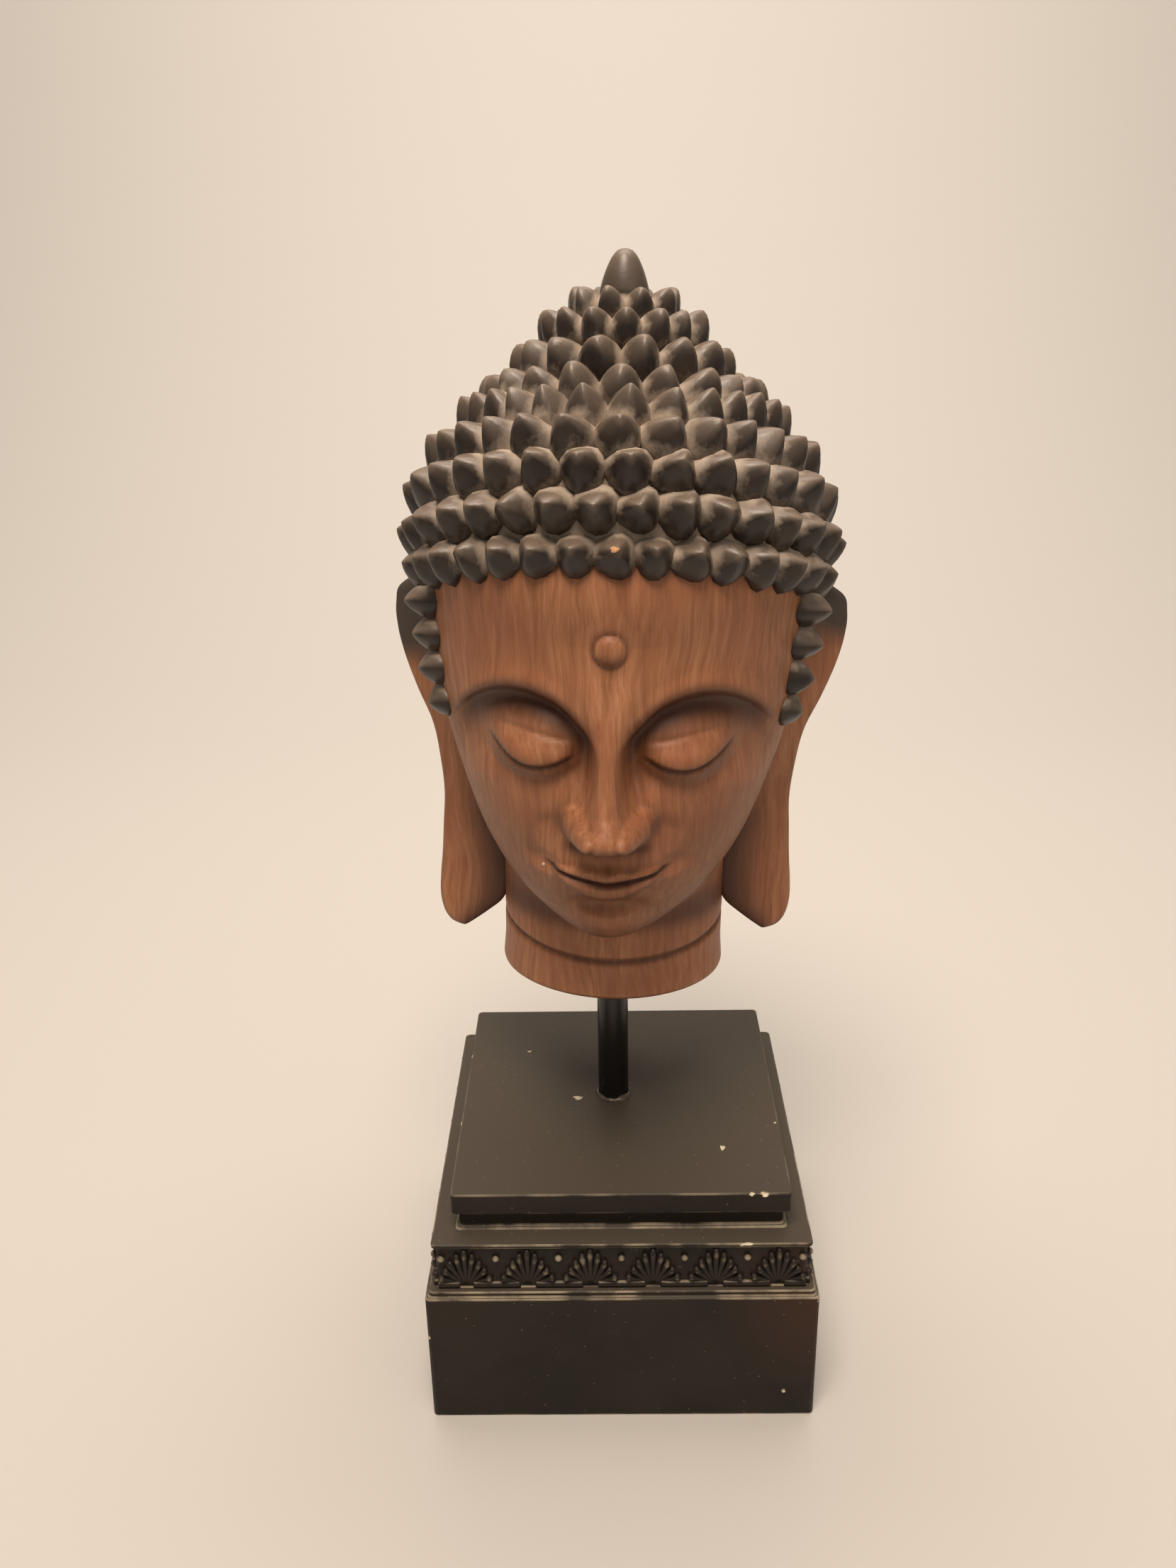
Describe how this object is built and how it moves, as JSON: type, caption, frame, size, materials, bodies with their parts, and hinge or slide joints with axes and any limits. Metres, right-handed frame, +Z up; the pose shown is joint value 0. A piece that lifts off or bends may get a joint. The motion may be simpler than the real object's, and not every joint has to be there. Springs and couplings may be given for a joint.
{
  "type": "buddha head on a plinth",
  "caption": "Cast resin Buddha head with rows of pointed curls, held on a short rod over a square plinth with a carved band.",
  "frame": {"origin": "middle of the plinth's flat underside", "axes": "+Z up along the rod, and the face looks along -Y, turned 3 degrees towards -X"},
  "size_m": [0.1426, 0.1484, 0.3623],
  "materials": {
    "head": "satin",
    "rod": "gloss",
    "plinth": "satin"
  },
  "bodies": {
    "root": {"head": "head", "rod": "rod", "plinth": "plinth"}
  },
  "joints": []
}
